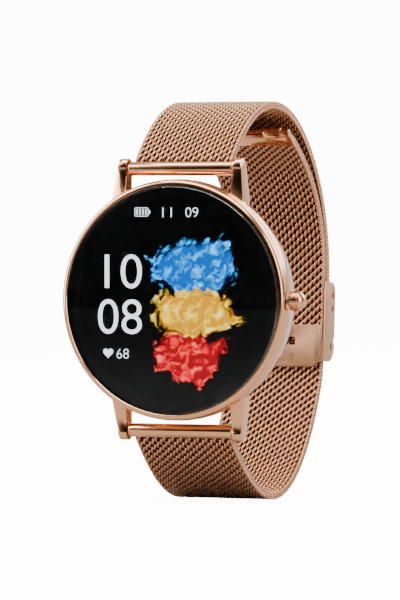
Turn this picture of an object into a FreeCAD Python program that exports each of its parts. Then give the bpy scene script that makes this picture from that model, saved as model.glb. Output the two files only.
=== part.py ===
import FreeCAD, Part
import math
import os

os.makedirs("parts", exist_ok=True)

# Smartwatch with a round metal case on a woven metal strap, in millimetres.
# +Z points to 12 o'clock, the screen faces -Y and the crown is on +X.
# The origin is the middle of the raised face that rests on the wrist.

# ---- driving sizes: case ----
case_diameter = 42.4
case_thickness = 8.6
case_wall = 2.8
bezel_rim = 1.2
back_taper = 1.3
glass_diameter = case_diameter - 2 * bezel_rim
glass_thickness = 1.0
bezel_depth = 1.6
bezel_lip_width = 1.0
cavity_diameter = case_diameter - 2 * case_wall
back_rim_diameter = case_diameter - 2 * back_taper
back_step_height = 0.6
back_plate_thickness = 0.7
sensor_platform_diameter = 24.0
sensor_window_diameter = 9.2
adhesive_thickness = 0.1
display_thickness = 0.8
display_diameter = cavity_diameter - 0.6
board_thickness = 0.8
battery_length = 18.0
battery_width = 14.0
battery_thickness = 3.1
motor_diameter = 7.0
motor_thickness = 2.7
screw_diameter = 1.0
screw_inset = 2.2
screw_circle_radius = cavity_diameter / 2 - screw_inset
pad_diameter = 2.2
pad_spacing = 15.0

# ---- driving sizes: crown ----
crown_diameter = 3.4
crown_grip_length = 1.55
crown_cap_height = 0.95
crown_depth = 3.0
crown_gap = 0.3
crown_travel = 0.45
crown_stem_diameter = 1.16
crown_tube_diameter = 1.9
flute_count = 20
flute_radius = 0.13

# ---- driving sizes: lugs and spring bars ----
strap_width = 18.4
lug_gap = strap_width + 1.7
bar_gap = 1.8
bar_height = case_diameter / 2 + bar_gap
lug_tip_radius = 1.3
lug_reach = bar_height + 1.8
lug_tip_width = 1.45
lug_root_width = 2.35
bar_depth = 4.8
bar_tube_diameter = 1.5
bar_tube_bore = 1.0
bar_tip_diameter = 0.8
bar_tip_entry = 0.85
barrel_diameter = 2.5
barrel_end_gap = 0.25
spring_wire_diameter = 0.16
spring_pitch = 0.9

# ---- driving sizes: strap and clasp ----
strap_thickness = 1.5
upper_heading = 50.0
upper_pull = 34.5
upper_end_pull = 22.0
lower_heading = -48.5
lower_pull = 42.0
lower_end_pull = 3.0
tail_pull = 11.0
layer_gap = 0.4
clasp_depth = 49.8
clasp_height = -5.2
clasp_tilt = 4.0
clasp_sheet = 0.6
clasp_wall_top = 7.8
clasp_wall_bottom = 6.9
clasp_wall_rise = 3.6
clasp_base_top = 0.2
clasp_base_bottom = 7.9
clasp_mesh_half = 8.5
hook_bar_rise = 1.8
hook_bar_drop = 4.1
hook_bar_thickness = 0.7
hook_bar_length = 1.2
hook_slack = 0.9
hook_lip = 0.6
cover_pin_diameter = 0.8
cover_pin_drop = 6.9
end_frame_length = 6.5
tail_depth = 35.5
tail_height = 28.0
tail_heading = 150.0
tail_plate_length = 3.2
tail_roll_diameter = 1.4
tail_stop_diameter = 1.9
tail_stop_length = 3.2
tail_stop_inset = 1.6

# ---- fits and clearances ----
running_clearance = 0.05
seat_clearance = 0.05
hinge_clearance = 0.08
side_clearance = 0.2
plate_clearance = 0.12
cover_clearance = 0.3
stack_clearance = 0.1

UPPER_PIECES = 6
LOWER_PIECES = 6
TAIL_PIECES = 3


# ---------------------------------------------------------------- helpers
def vec(x, y, z):
    return FreeCAD.Vector(x, y, z)


X_AXIS = vec(1, 0, 0)
Y_AXIS = vec(0, 1, 0)


def save(name, *solids):
    """Write one node; several solids make a group."""
    shape = solids[0] if len(solids) == 1 else Part.makeCompound(list(solids))
    shape.exportStep("parts/" + name + ".step")


def turned(outline):
    """Solid of revolution about Y from (radius, y) corners."""
    corners = [vec(r, y, 0) for r, y in outline]
    face = Part.Face(Part.makePolygon(corners + corners[:1]))
    return face.revolve(vec(0, 0, 0), Y_AXIS, 360)


def disc(radius, y0, y1, x=0.0, z=0.0):
    return Part.makeCylinder(radius, y1 - y0, vec(x, y0, z), Y_AXIS)


def ring(inner, outer, y0, y1):
    return disc(outer, y0, y1).cut(disc(inner, y0, y1))


def rod(radius, x0, x1, y, z):
    return Part.makeCylinder(radius, x1 - x0, vec(x0, y, z), X_AXIS)


def block(x0, x1, y0, y1, z0, z1):
    return Part.makeBox(x1 - x0, y1 - y0, z1 - z0, vec(x0, y0, z0))


def round_edges(shape, radius, wanted):
    edges = [e for e in shape.Edges if wanted(e)]
    return shape.makeFillet(radius, edges)


def polar(radius, degrees):
    angle = math.radians(degrees)
    return radius * math.cos(angle), radius * math.sin(angle)


def fused(solids):
    return solids[0].multiFuse(solids[1:]).removeSplitter()


# ---------------------------------------------------------------- levels in Y
front_y = -case_thickness
glass_back_y = front_y + glass_thickness
bezel_back_y = front_y + bezel_depth
display_front_y = glass_back_y + adhesive_thickness
display_back_y = display_front_y + display_thickness
case_back_y = -back_step_height
plate_seat_y = case_back_y - back_plate_thickness
boss_height = 2.3
boss_front_y = plate_seat_y - boss_height
board_gap = 0.2
board_back_y = boss_front_y - board_gap
board_front_y = board_back_y - board_thickness
frame_front_y = display_back_y + stack_clearance
frame_back_y = board_front_y - stack_clearance

case_radius = case_diameter / 2
cavity_radius = cavity_diameter / 2
glass_radius = glass_diameter / 2
pocket_radius = glass_radius + seat_clearance
bezel_radius = case_radius - 0.1
ledge_radius = glass_radius - 1.0

# ---------------------------------------------------------------- glass stack
glass = turned([
    (0, front_y),
    (glass_radius - 0.25, front_y),
    (glass_radius, front_y + 0.2),
    (glass_radius, glass_back_y),
    (0, glass_back_y),
])
save("front_glass", glass)

display_radius = display_diameter / 2
save("glass_adhesive", disc(display_radius, glass_back_y, display_front_y))
save("display_panel", disc(display_radius, display_front_y, display_back_y))

# ---------------------------------------------------------------- bezel ring
# A polished ring holds the glass edge on an inner ledge.
bezel = turned([
    (ledge_radius, glass_back_y),
    (pocket_radius, glass_back_y),
    (pocket_radius, front_y + 0.05),
    (pocket_radius + 0.15, front_y),
    (bezel_radius - bezel_lip_width + 0.45, front_y + 0.1),
    (bezel_radius - 0.1, front_y + 0.65),
    (bezel_radius, front_y + 0.9),
    (bezel_radius, bezel_back_y),
    (ledge_radius, bezel_back_y),
])

# ---------------------------------------------------------------- case body
back_rim_radius = back_rim_diameter / 2
plate_pocket_radius = back_rim_radius - 0.9
flange_radius = screw_circle_radius + 1.0
waist_y = front_y + 3.3
case_shell = turned([
    (cavity_radius, bezel_back_y),
    (case_radius - 0.15, bezel_back_y),
    (case_radius - 0.05, bezel_back_y + 0.15),
    (case_radius, waist_y),
    (case_radius - 0.35, waist_y + 1.3),
    (back_rim_radius + 0.3, case_back_y - 0.5),
    (back_rim_radius - 0.1, case_back_y),
    (plate_pocket_radius, case_back_y),
    (plate_pocket_radius, plate_seat_y),
    (flange_radius, plate_seat_y),
    (flange_radius, plate_seat_y - 1.0),
    (cavity_radius, plate_seat_y - 1.0),
])

bar_y = front_y + bar_depth
lug_inner_x = lug_gap / 2
lug_tip_x = lug_inner_x + lug_tip_width
lug_root_x = lug_inner_x + lug_root_width
lug_root_z = math.sqrt(case_radius ** 2 - lug_root_x ** 2) - 1.6
lug_tip_z = lug_reach - lug_tip_radius


def lug(side, end):
    """One lug: side is +1 on the crown side, end is +1 at 12 o'clock."""
    front = vec(0, waist_y - 1.1, lug_root_z)
    back = vec(0, waist_y + 2.6, lug_root_z)
    tip_front = vec(0, bar_y - lug_tip_radius, lug_tip_z - 0.6)
    tip_top = vec(0, bar_y, lug_tip_z + lug_tip_radius)
    tip_back = vec(0, bar_y + lug_tip_radius, lug_tip_z - 0.6)
    outline = Part.Wire([
        Part.LineSegment(back, front).toShape(),
        Part.LineSegment(front, tip_front).toShape(),
        Part.Arc(tip_front, tip_top, tip_back).toShape(),
        Part.LineSegment(tip_back, back).toShape(),
    ])
    depth = lug_root_x - lug_inner_x
    slab = Part.Face(outline).extrude(vec(depth, 0, 0))
    slab.translate(vec(lug_inner_x, 0, 0))
    plan = Part.Face(Part.makePolygon([
        vec(lug_inner_x, front_y, lug_root_z),
        vec(lug_root_x, front_y, lug_root_z),
        vec(lug_root_x, front_y, lug_root_z + 2.2),
        vec(lug_tip_x, front_y, lug_reach + 0.1),
        vec(lug_inner_x, front_y, lug_reach + 0.1),
        vec(lug_inner_x, front_y, lug_root_z),
    ]))
    slab = slab.common(plan.extrude(vec(0, case_thickness, 0)))
    slab = slab.cut(disc(cavity_radius + 0.6, front_y, 0))
    if side < 0:
        slab = slab.mirror(vec(0, 0, 0), X_AXIS)
    if end < 0:
        slab = slab.mirror(vec(0, 0, 0), vec(0, 0, 1))
    return slab


lugs = [lug(side, end) for side in (1, -1) for end in (1, -1)]
boss_radius = screw_diameter / 2 + 0.7
screw_angles = (45, 135, 225, 315)
screw_places = [polar(screw_circle_radius, a) for a in screw_angles]
bosses = [
    disc(boss_radius, boss_front_y, plate_seat_y, x, z) for x, z in screw_places
]
case = fused([case_shell] + lugs + bosses)

crown_y = front_y + crown_depth
crown_recess_x = case_radius - 0.4
crown_recess = rod(crown_diameter / 2 + 0.15, crown_recess_x, case_radius + 1, crown_y, 0)
crown_bore = rod(crown_tube_diameter / 2, cavity_radius - 2, case_radius, crown_y, 0)
save("bezel_ring", bezel.cut(crown_recess))
tip_reach_x = lug_inner_x + bar_tip_entry
tip_hole_radius = bar_tip_diameter / 2 + running_clearance / 2
tip_holes = [
    rod(tip_hole_radius, -tip_reach_x - 0.05, tip_reach_x + 0.05, bar_y, z)
    for z in (bar_height, -bar_height)
]
screw_holes = [
    disc(screw_diameter / 2, boss_front_y, plate_seat_y, x, z) for x, z in screw_places
]
gasket_inner = flange_radius + 0.35
gasket_outer = gasket_inner + 0.6
gasket_depth = 0.4
gasket_groove = ring(gasket_inner, gasket_outer, plate_seat_y - gasket_depth, plate_seat_y)
case = case.cut(Part.makeCompound([crown_recess, crown_bore, gasket_groove]))
case = case.cut(Part.makeCompound(tip_holes + screw_holes))
save("case_body", case)
save("back_gasket", gasket_groove)

# ---------------------------------------------------------------- case back
plate_radius = plate_pocket_radius - seat_clearance
platform_radius = sensor_platform_diameter / 2
window_radius = sensor_window_diameter / 2
back = turned([
    (window_radius + seat_clearance, 0),
    (platform_radius - 0.5, 0),
    (platform_radius, case_back_y),
    (plate_radius, case_back_y),
    (plate_radius, plate_seat_y),
    (window_radius + seat_clearance, plate_seat_y),
])
head_radius = screw_diameter * 0.85
head_depth = 0.4
head_pockets = [
    disc(head_radius + seat_clearance, case_back_y - head_depth, case_back_y, x, z)
    for x, z in screw_places
]
shank_holes = [
    disc(screw_diameter / 2 + seat_clearance, plate_seat_y, case_back_y, x, z)
    for x, z in screw_places
]
pad_places = [(-pad_spacing / 2, 0), (pad_spacing / 2, 0)]
pad_holes = [disc(pad_diameter / 2, plate_seat_y, 0, x, z) for x, z in pad_places]
back = back.cut(Part.makeCompound(head_pockets + shank_holes + pad_holes))
save("case_back", back)


def back_screw(x, z):
    """Slotted screw that holds the case back."""
    head = disc(head_radius, case_back_y - head_depth, case_back_y, x, z)
    slot = block(x - head_radius, x + head_radius, case_back_y - 0.15, case_back_y,
                 z - 0.13, z + 0.13)
    shank = disc(screw_diameter / 2 - 0.01, boss_front_y + 0.2,
                 case_back_y - head_depth, x, z)
    return fused([head.cut(slot), shank])


save("back_screws", *[back_screw(x, z) for x, z in screw_places])
pad_head = 0.3
save("charging_pads", *[
    disc(pad_diameter / 2, plate_seat_y - pad_head, 0, x, z) for x, z in pad_places
])
window_flange = turned([
    (0, 0),
    (window_radius, 0),
    (window_radius, plate_seat_y),
    (window_radius + 0.9, plate_seat_y),
    (window_radius + 0.9, plate_seat_y - 0.3),
    (0, plate_seat_y - 0.3),
])
save("sensor_window", window_flange)

# ---------------------------------------------------------------- electronics
sensor_back_y = plate_seat_y - 0.8
sensor_board_thickness = 0.5
save("sensor_board", disc(window_radius + 0.7, sensor_back_y - sensor_board_thickness,
                          sensor_back_y))
save("sensor_chips", *[
    block(x - 0.9, x + 0.9, sensor_back_y, sensor_back_y + 0.4, -0.9, 0.9)
    for x in (-3.0, 0.0, 3.0)
])

battery_x = -4.0
battery_back_y = sensor_back_y - sensor_board_thickness - 0.3
battery_front_y = battery_back_y - battery_thickness
battery = block(battery_x - battery_length / 2, battery_x + battery_length / 2,
                battery_front_y, battery_back_y, -battery_width / 2, battery_width / 2)
battery = round_edges(battery, 0.8, lambda e: abs(e.tangentAt(0).y) > 0.99)
save("battery", battery)

motor_radius = motor_diameter / 2
motor_gap = 0.8
motor_x = battery_x + battery_length / 2 + motor_radius + motor_gap
motor_z = -7.2
motor_front_y = display_back_y + 0.3
motor = disc(motor_radius, motor_front_y, motor_front_y + motor_thickness, motor_x, motor_z)
save("vibration_motor", motor)

board_radius = cavity_radius - 0.3
cutout_gap = 0.3
board = disc(board_radius, board_front_y, board_back_y)
battery_cutout = block(
    battery_x - battery_length / 2 - cutout_gap, battery_x + battery_length / 2 + cutout_gap,
    board_front_y, board_back_y,
    -battery_width / 2 - cutout_gap, battery_width / 2 + cutout_gap)
motor_cutout = disc(motor_radius + cutout_gap, board_front_y, board_back_y, motor_x, motor_z)
board = board.cut(battery_cutout).cut(motor_cutout)
save("main_board", board)

chip_height = 0.9
chip_row_z = battery_width / 2 + 3.4
chips = [
    block(x - length / 2, x + length / 2, board_front_y - chip_height, board_front_y,
          z - width / 2, z + width / 2)
    for x, z, length, width in (
        (-5.0, chip_row_z, 7.0, 4.0),
        (3.0, chip_row_z, 5.0, 5.0),
        (-4.0, -chip_row_z, 8.0, 4.0),
    )
]
save("board_chips", *chips)

# The stem's inner end stops just short of the switch at full travel.
stem_end_x = cavity_radius - 3.1
switch_face_x = stem_end_x - crown_travel - 0.1
switch_length = 2.4
switch_half = 2.2
switch_top_y = crown_y - 0.75
save("side_switch", block(switch_face_x - switch_length, switch_face_x, switch_top_y,
                          board_front_y, -switch_half, switch_half))

frame_inner_radius = stem_end_x + 0.2
inner_frame = ring(frame_inner_radius, cavity_radius - 0.2, frame_front_y, frame_back_y)
crown_notch = block(frame_inner_radius - 1, cavity_radius, frame_front_y, frame_back_y,
                    -switch_half - 0.6, switch_half + 0.6)
save("inner_frame", inner_frame.cut(crown_notch))

# ---------------------------------------------------------------- crown
stem_radius = crown_stem_diameter / 2
tube_bore_radius = stem_radius + running_clearance + 0.02
tube_inner_x = cavity_radius - 0.5
crown_tube = rod(crown_tube_diameter / 2, tube_inner_x, crown_recess_x, crown_y, 0)
crown_tube = crown_tube.cut(rod(tube_bore_radius, tube_inner_x, crown_recess_x, crown_y, 0))
save("crown_tube", crown_tube)

knob_x = case_radius + crown_gap
grip_end_x = knob_x + crown_grip_length
knob_radius = crown_diameter / 2
grip = rod(knob_radius, knob_x, grip_end_x, crown_y, 0)
flutes = []
for i in range(flute_count):
    dy, dz = polar(knob_radius, 360 * i / flute_count)
    flutes.append(rod(flute_radius, knob_x, grip_end_x, crown_y + dy, dz))
grip = grip.cut(Part.makeCompound(flutes))
cap_sphere_radius = (knob_radius ** 2 + crown_cap_height ** 2) / (2 * crown_cap_height)
cap_center_x = grip_end_x + crown_cap_height - cap_sphere_radius
cap = Part.makeSphere(cap_sphere_radius, vec(cap_center_x, crown_y, 0))
cap = cap.common(rod(knob_radius, grip_end_x, grip_end_x + 2 * crown_cap_height, crown_y, 0))
stem_top_x = grip_end_x - 0.3
knob = fused([grip, cap]).cut(rod(stem_radius, knob_x, stem_top_x, crown_y, 0))
save("crown_knob", knob)

groove_radius = stem_radius - 0.18
clip_width = 0.35
clip_x = tube_inner_x - clip_width - 0.1
seal_width = 0.36
seal_places = (tube_inner_x + 0.9, tube_inner_x + 1.9)


def stem_groove(x, width):
    outer = rod(stem_radius + 0.1, x, x + width, crown_y, 0)
    return outer.cut(rod(groove_radius, x, x + width, crown_y, 0))


stem = rod(stem_radius, stem_end_x, stem_top_x, crown_y, 0)
groove_play = running_clearance
stem = stem.cut(stem_groove(clip_x - groove_play, clip_width + 2 * groove_play))
for x in seal_places:
    stem = stem.cut(stem_groove(x - groove_play, seal_width + 2 * groove_play))
save("crown_stem", stem)

ring_bore_radius = groove_radius + running_clearance / 2
clip_radius = min(stem_radius + 0.35, board_front_y - crown_y - running_clearance)
clip = rod(clip_radius, clip_x, clip_x + clip_width, crown_y, 0)
clip = clip.cut(rod(ring_bore_radius, clip_x, clip_x + clip_width, crown_y, 0))
save("crown_clip", clip)
seals = []
for x in seal_places:
    seal = rod(tube_bore_radius - 0.01, x, x + seal_width, crown_y, 0)
    seals.append(seal.cut(rod(ring_bore_radius, x, x + seal_width, crown_y, 0)))
save("crown_seals", *seals)

# ---------------------------------------------------------------- spring bars
barrel_half = lug_inner_x - barrel_end_gap
bar_half = barrel_half - 0.3
tip_inner_x = bar_half - 0.8
bar_radius = bar_tube_diameter / 2
bore_radius = bar_tube_bore / 2


def spring_bar(prefix, z):
    tube = rod(bar_radius, -bar_half, bar_half, bar_y, z)
    tube = tube.cut(rod(bore_radius, -bar_half, bar_half, bar_y, z))
    save(prefix + "_bar_tube", tube)
    tips = []
    for side in (1, -1):
        foot = sorted((side * tip_inner_x, side * (tip_inner_x + 0.5)))
        nose = sorted((side * (tip_inner_x + 0.5), side * tip_reach_x))
        tips.append(fused([
            rod(bore_radius - 0.02, foot[0], foot[1], bar_y, z),
            rod(bar_tip_diameter / 2, nose[0], nose[1], bar_y, z),
        ]))
    save(prefix + "_bar_tips", *tips)


def bar_spring(z):
    """Coil that pushes the two tips of a spring bar apart."""
    wire_radius = spring_wire_diameter / 2
    coil_radius = bore_radius - wire_radius - 0.04
    length = 2 * (tip_inner_x - wire_radius - 0.02)
    helix = Part.makeHelix(spring_pitch, length, coil_radius)
    start = vec(coil_radius, 0, 0)
    section = Part.Wire(Part.makeCircle(wire_radius, start, Y_AXIS))
    coil = Part.Wire(helix).makePipeShell([section], True, True)
    coil.rotate(vec(0, 0, 0), Y_AXIS, 90)
    coil.translate(vec(-length / 2, bar_y, z))
    return coil


def barrel(z):
    tube = rod(barrel_diameter / 2, -barrel_half, barrel_half, bar_y, z)
    bore = bar_radius + running_clearance
    return tube.cut(rod(bore, -barrel_half, barrel_half, bar_y, z))


spring_bar("upper", bar_height)
spring_bar("lower", -bar_height)
save("bar_springs", bar_spring(bar_height), bar_spring(-bar_height))
save("upper_barrel", barrel(bar_height))
save("lower_barrel", barrel(-bar_height))

# ---------------------------------------------------------------- strap path
# Clasp frame: (rise, drop) is the distance away from the wrist and the distance
# down the strap from the middle of the clasp.
half_strap = strap_thickness / 2
clasp_origin = vec(0, clasp_depth + front_y, clasp_height)
tilt = math.radians(clasp_tilt)
rise_axis = vec(0, math.cos(tilt), -math.sin(tilt))
drop_axis = vec(0, -math.sin(tilt), -math.cos(tilt))
layer_rise = strap_thickness + layer_gap


def at_clasp(rise, drop, x=0.0):
    return clasp_origin + rise_axis * rise + drop_axis * drop + vec(x, 0, 0)


def heading(degrees):
    angle = math.radians(degrees)
    return vec(0, math.cos(angle), math.sin(angle))


def strap_curve(start, start_heading, start_pull, end, end_heading, end_pull):
    curve = Part.BezierCurve()
    curve.setPoles([
        start,
        start + heading(start_heading) * start_pull,
        end - heading(end_heading) * end_pull,
        end,
    ])
    return curve


def divided(curve, count):
    """Parameters that cut the curve into equal lengths."""
    length = curve.length()
    return [curve.parameterAtDistance(length * i / count, 0) for i in range(count + 1)]


def offset_point(curve, parameter, distance):
    point = curve.value(parameter)
    along = curve.tangent(parameter)[0]
    across = vec(0, -along.z, along.y)
    return point + across * distance


def band(curve, t0, t1, end_round=True, socket=None):
    """One length of strap; the start is hollowed by a socket of that radius."""
    tm = (t0 + t1) / 2
    tip = curve.value(t1) + curve.tangent(t1)[0] * half_strap
    sides = {}
    for sign in (1, -1):
        sides[sign] = [offset_point(curve, t, sign * half_strap) for t in (t0, tm, t1)]
    a, b = sides[1], sides[-1]
    if end_round:
        cap_edge = Part.Arc(a[2], tip, b[2]).toShape()
    else:
        cap_edge = Part.LineSegment(a[2], b[2]).toShape()
    outline = Part.Wire([
        Part.Arc(a[0], a[1], a[2]).toShape(),
        cap_edge,
        Part.Arc(b[2], b[1], b[0]).toShape(),
        Part.LineSegment(b[0], a[0]).toShape(),
    ])
    solid = Part.Face(outline).extrude(vec(strap_width, 0, 0))
    solid.translate(vec(-strap_width / 2, 0, 0))
    if socket:
        p = curve.value(t0)
        solid = solid.cut(rod(socket, -strap_width, strap_width, p.y, p.z))
    return solid


socket_radius = half_strap + hinge_clearance
strap_hinges = {}


def strap_run(prefix, curve, count, first_socket, last_round):
    """Lengths of strap in a chain; each turns about the start of its own length."""
    cuts = divided(curve, count)
    for i in range(count):
        name = prefix + "_" + str(i + 1)
        last = i == count - 1
        socket = first_socket if i == 0 else socket_radius
        piece = band(curve, cuts[i], cuts[i + 1], last_round if last else True, socket)
        save(name, piece)
        chord = curve.value(cuts[i + 1]) - curve.value(cuts[i])
        strap_hinges[name] = (
            curve.value(cuts[i]), math.degrees(math.atan2(chord.z, chord.y)))


upper_start = vec(0, bar_y, bar_height)
lower_start = vec(0, bar_y, -bar_height)
upper_curve = strap_curve(upper_start, upper_heading, upper_pull,
                          at_clasp(layer_rise, -clasp_mesh_half), -90 - clasp_tilt, upper_end_pull)
lower_curve = strap_curve(lower_start, lower_heading, lower_pull,
                          at_clasp(0, clasp_mesh_half), 90 - clasp_tilt, lower_end_pull)
tail_end = vec(0, tail_depth + front_y, tail_height)
tail_curve = strap_curve(at_clasp(0, -clasp_mesh_half), 90 - clasp_tilt, tail_pull,
                         tail_end, tail_heading, tail_pull)
strap_run("upper_mesh", upper_curve, UPPER_PIECES, barrel_diameter / 2, False)
strap_run("lower_mesh", lower_curve, LOWER_PIECES, barrel_diameter / 2, True)
strap_run("tail_mesh", tail_curve, TAIL_PIECES, socket_radius, False)


# ---------------------------------------------------------------- clasp
def clasp_slab(outline, x0, x1):
    """Extrude (rise, drop) corners across the strap between x0 and x1."""
    corners = [at_clasp(rise, drop, x0) for rise, drop in outline]
    face = Part.Face(Part.makePolygon(corners + corners[:1]))
    return face.extrude(vec(x1 - x0, 0, 0))


def clasp_block(rise0, rise1, drop0, drop1, x0, x1):
    corners = [(rise0, drop0), (rise1, drop0), (rise1, drop1), (rise0, drop1)]
    return clasp_slab(corners, x0, x1)


def clasp_rod(radius, rise, drop, x0, x1):
    p = at_clasp(rise, drop)
    return rod(radius, x0, x1, p.y, p.z)


wall_inner_x = strap_width / 2 + side_clearance
wall_outer_x = wall_inner_x + clasp_sheet
base_top = -half_strap - plate_clearance
base_bottom = base_top - clasp_sheet

mesh_in_clasp = clasp_block(-half_strap, half_strap, -clasp_mesh_half, clasp_mesh_half,
                            -strap_width / 2, strap_width / 2)
mesh_cap = clasp_rod(half_strap, 0, -clasp_mesh_half, -strap_width / 2, strap_width / 2)
mesh_socket = clasp_rod(socket_radius, 0, clasp_mesh_half, -strap_width, strap_width)
save("clasp_mesh", fused([mesh_in_clasp, mesh_cap]).cut(mesh_socket))

top_round = 2.0
bottom_round = 3.0
diagonal = math.sqrt(0.5)


def clasp_wall(x0, x1):
    """Side wall with a rounded top corner and a wider round at the bottom."""
    top_center = (clasp_wall_rise - top_round, -clasp_wall_top + top_round)
    low_center = (clasp_wall_rise - bottom_round, clasp_wall_bottom - bottom_round)
    p = [
        at_clasp(base_bottom, -clasp_wall_top, x0),
        at_clasp(top_center[0], -clasp_wall_top, x0),
        at_clasp(top_center[0] + top_round * diagonal, top_center[1] - top_round * diagonal, x0),
        at_clasp(clasp_wall_rise, top_center[1], x0),
        at_clasp(clasp_wall_rise, low_center[1], x0),
        at_clasp(low_center[0] + bottom_round * diagonal,
                 low_center[1] + bottom_round * diagonal, x0),
        at_clasp(low_center[0], clasp_wall_bottom, x0),
        at_clasp(base_bottom, clasp_wall_bottom, x0),
    ]
    outline = Part.Wire([
        Part.LineSegment(p[0], p[1]).toShape(),
        Part.Arc(p[1], p[2], p[3]).toShape(),
        Part.LineSegment(p[3], p[4]).toShape(),
        Part.Arc(p[4], p[5], p[6]).toShape(),
        Part.LineSegment(p[6], p[7]).toShape(),
        Part.LineSegment(p[7], p[0]).toShape(),
    ])
    return Part.Face(outline).extrude(vec(x1 - x0, 0, 0))


corner_cut = 2.2
base_plan = Part.Face(Part.makePolygon([
    at_clasp(base_bottom, drop, x) for x, drop in (
        (-wall_outer_x, clasp_base_top),
        (wall_outer_x, clasp_base_top),
        (wall_outer_x, clasp_wall_bottom - 0.6),
        (wall_outer_x - corner_cut, clasp_base_bottom),
        (-wall_outer_x + corner_cut, clasp_base_bottom),
        (-wall_outer_x, clasp_wall_bottom - 0.6),
        (-wall_outer_x, clasp_base_top),
    )
]))
base = base_plan.extrude(rise_axis * clasp_sheet)
walls = [clasp_wall(wall_inner_x, wall_outer_x), clasp_wall(-wall_outer_x, -wall_inner_x)]
channel = fused([base] + walls)
channel = round_edges(
    channel, clasp_sheet * 0.8,
    lambda e: e.CenterOfMass.distanceToPoint(
        at_clasp(base_bottom, e.CenterOfMass.sub(clasp_origin).dot(drop_axis),
                 math.copysign(wall_outer_x, e.CenterOfMass.x))) < 0.05
    and abs(e.tangentAt(e.FirstParameter).dot(drop_axis)) > 0.99)

hook_bar_half = wall_outer_x - 0.15
hook_bar_hole = clasp_block(
    hook_bar_rise - hook_bar_thickness / 2, hook_bar_rise + hook_bar_thickness / 2,
    hook_bar_drop - hook_bar_length / 2, hook_bar_drop + hook_bar_length / 2,
    -wall_outer_x - 1, wall_outer_x + 1)
hook_bar = hook_bar_hole.common(block(-hook_bar_half, hook_bar_half, -100, 100, -100, 100))
save("hook_bar", hook_bar)

# Two round dents on each wall and a notch in its outer edge.
dent_radius = 0.55
dent_depth = 0.25
dent_rise = 2.2
dent_drops = (-5.2, -2.8)
dents = []
for side in (1, -1):
    for drop in dent_drops:
        x0, x1 = sorted((side * (wall_outer_x - dent_depth), side * (wall_outer_x + 1)))
        dents.append(clasp_rod(dent_radius, dent_rise, drop, x0, x1))
notch_start = 2.4
notch_end = 3.4
notch_depth = 0.45
notch = clasp_block(clasp_wall_rise - notch_depth, clasp_wall_rise + 1, notch_start, notch_end,
                    -wall_outer_x - 1, wall_outer_x + 1)

# Window for the lock bar that grips the strap from the wrist side.
lock_drop = 3.15
lock_half = 4.1
lock_size = 0.5
lock_pivot_radius = 0.15
lock_window_half = 0.75
window_half = lock_half + 0.1
lock_rise = base_bottom + clasp_sheet / 2
lock_window = clasp_block(base_bottom - 1, base_top + 0.01, lock_drop - lock_window_half,
                          lock_drop + lock_window_half, -window_half, window_half)
lock_pivot_x = window_half + 0.6
lock_bores = clasp_rod(lock_pivot_radius + 0.03, lock_rise, lock_drop,
                       -lock_pivot_x - 0.05, lock_pivot_x + 0.05)
channel = channel.cut(Part.makeCompound([hook_bar_hole] + dents))
channel = channel.cut(Part.makeCompound([notch, lock_window])).cut(lock_bores)
save("clasp_channel", channel)

lock_body = clasp_block(lock_rise - lock_size / 2, lock_rise + lock_size / 2,
                        lock_drop - lock_size / 2, lock_drop + lock_size / 2,
                        -lock_half, lock_half)
lock_pivots = clasp_rod(lock_pivot_radius, lock_rise, lock_drop, -lock_pivot_x, lock_pivot_x)
save("lock_bar", fused([lock_body, lock_pivots]))

# ---------------------------------------------------------------- strap end frame and cover
frame_low = layer_rise - half_strap
frame_high = layer_rise + half_strap
cover_low = frame_high + cover_clearance
cover_high = cover_low + clasp_sheet
pin_radius = cover_pin_diameter / 2
knuckle_radius = pin_radius + 0.3
pin_rise = cover_low + 0.1
cover_knuckle_half = 3.0
frame_knuckle_x = cover_knuckle_half + 0.15
knuckle_end_x = strap_width / 2 - 0.5
frame_start = -clasp_mesh_half
frame_end = frame_start + end_frame_length

end_frame = clasp_block(frame_low, frame_high, frame_start, frame_end,
                        -strap_width / 2, strap_width / 2)
frame_knuckles = []
for x0, x1 in ((frame_knuckle_x, knuckle_end_x), (-knuckle_end_x, -frame_knuckle_x)):
    frame_knuckles.append(clasp_rod(knuckle_radius, pin_rise, -cover_pin_drop, x0, x1))
    frame_knuckles.append(clasp_block(frame_high - 0.2, pin_rise, -cover_pin_drop - knuckle_radius,
                                      -cover_pin_drop + knuckle_radius, x0, x1))
end_frame = fused([end_frame] + frame_knuckles)
knuckle_relief = clasp_rod(knuckle_radius + 0.12, pin_rise, -cover_pin_drop,
                           -frame_knuckle_x, frame_knuckle_x)
pin_hole = clasp_rod(pin_radius, pin_rise, -cover_pin_drop, -strap_width, strap_width)
end_frame = end_frame.cut(knuckle_relief).cut(pin_hole)
save("upper_end_frame", end_frame)
save("cover_pin", clasp_rod(pin_radius, pin_rise, -cover_pin_drop,
                            -knuckle_end_x + 0.1, knuckle_end_x - 0.1))

cover_half = strap_width / 2 + 0.05
nose_start = hook_bar_drop + hook_bar_length / 2 + hook_slack
nose_end = nose_start + 0.65
nose_low = hook_bar_rise + hook_bar_thickness / 2 - hook_lip
nose_half = strap_width / 2 - 1.5
plate_start = -cover_pin_drop + knuckle_radius + 0.15
cover_plate = clasp_block(cover_low, cover_high, plate_start, nose_end, -cover_half, cover_half)
cover_plate = round_edges(
    cover_plate, clasp_sheet * 0.7,
    lambda e: abs(e.tangentAt(e.FirstParameter).x) > 0.99
    and (e.CenterOfMass - at_clasp(cover_high, nose_end)).Length < 0.05)
cover_tongue = clasp_block(cover_low, cover_high - 0.05, -cover_pin_drop, plate_start + 0.5,
                           -cover_knuckle_half, cover_knuckle_half)
cover_knuckle = clasp_rod(knuckle_radius, pin_rise, -cover_pin_drop,
                          -cover_knuckle_half, cover_knuckle_half)
cover_nose = clasp_block(nose_low, cover_low + 0.1, nose_start, nose_end, -nose_half, nose_half)
cover = fused([cover_plate, cover_tongue, cover_knuckle, cover_nose])
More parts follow.
